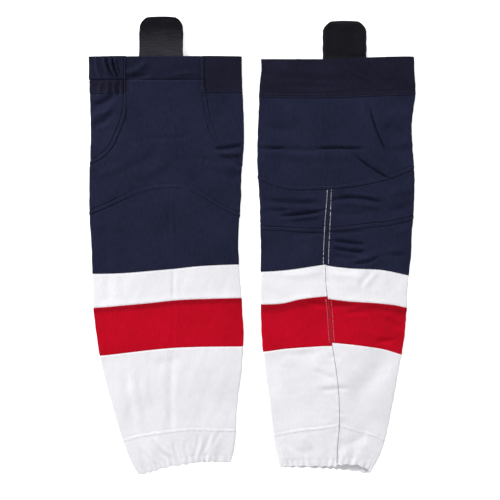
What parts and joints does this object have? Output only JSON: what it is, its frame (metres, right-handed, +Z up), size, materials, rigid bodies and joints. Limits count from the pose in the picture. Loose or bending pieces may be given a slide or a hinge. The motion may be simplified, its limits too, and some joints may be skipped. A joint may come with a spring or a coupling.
{
  "type": "ice hockey socks",
  "caption": "Pair of footless ice hockey socks laid flat: navy knit tubes with white and red stripes, an elastic waist, shaped knee panels, gathered ankle hems and fold-over hook tabs.",
  "frame": {"origin": "middle of the box that the flat-laid pair fills, on the surface it lies on", "axes": "+Z up from the surface, +Y along the socks from the ankle hems towards the mouths, +X from the left sock to the right sock"},
  "size_m": [0.553, 0.7772, 0.013],
  "materials": {
    "navy_knit": "matte double-knit polyester",
    "navy_elastic": "matte ribbed elastic",
    "white_knit": "matte double-knit polyester",
    "red_knit": "matte double-knit polyester",
    "white_elastic": "matte braided elastic",
    "seam_thread": "off-white polyester thread",
    "tab_webbing": "woven nylon tape",
    "hook_nylon": "moulded nylon hooks"
  },
  "bodies": {
    "left_upper_half": {"left_waist_elastic": "navy_elastic", "left_thigh_panel": "navy_knit", "left_knee_panel": "navy_knit", "left_shin_panel": "navy_knit", "left_back_seam_upper": "seam_thread", "left_tab_base": "tab_webbing"},
    "left_lower_half": {"left_upper_white_stripe": "white_knit", "left_red_stripe": "red_knit", "left_calf_panel": "white_knit", "left_ankle_panel": "white_knit", "left_hem_elastic": "white_elastic", "left_back_seam_lower": "seam_thread"},
    "left_tab": {"left_tab_tape": "tab_webbing", "left_hook_field": "hook_nylon"},
    "right_upper_half": {"right_waist_elastic": "navy_elastic", "right_thigh_panel": "navy_knit", "right_knee_panel": "navy_knit", "right_shin_panel": "navy_knit", "right_back_seam_upper": "seam_thread", "right_tab_base": "tab_webbing"},
    "right_lower_half": {"right_upper_white_stripe": "white_knit", "right_red_stripe": "red_knit", "right_calf_panel": "white_knit", "right_ankle_panel": "white_knit", "right_hem_elastic": "white_elastic", "right_back_seam_lower": "seam_thread"},
    "right_tab": {"right_tab_tape": "tab_webbing", "right_hook_field": "hook_nylon"}
  },
  "joints": [
    {"name": "left_half_fold", "type": "hinge", "parent": "left_upper_half", "child": "left_lower_half", "pos_m": [-0.14466, -0.03963, 0.0121], "axis": [-0.9995, -0.0329, 0], "range_deg": [0, 178]},
    {"name": "left_tab_fold", "type": "hinge", "parent": "left_upper_half", "child": "left_tab", "pos_m": [-0.1535, 0.32835, 0.00926], "axis": [1, 0, 0], "range_deg": [0, 125]},
    {"name": "right_lift_off", "type": "slide", "parent": "left_upper_half", "child": "right_upper_half", "axis": [0, 0, 1], "range_m": [0, 0.15]},
    {"name": "right_half_fold", "type": "hinge", "parent": "right_upper_half", "child": "right_lower_half", "pos_m": [0.14543, -0.03965, 0.0121], "axis": [-0.9998, 0.019, 0], "range_deg": [0, 178]},
    {"name": "right_tab_fold", "type": "hinge", "parent": "right_upper_half", "child": "right_tab", "pos_m": [0.1585, 0.32835, 0.002], "axis": [1, 0, 0], "range_deg": [0, 105]}
  ]
}
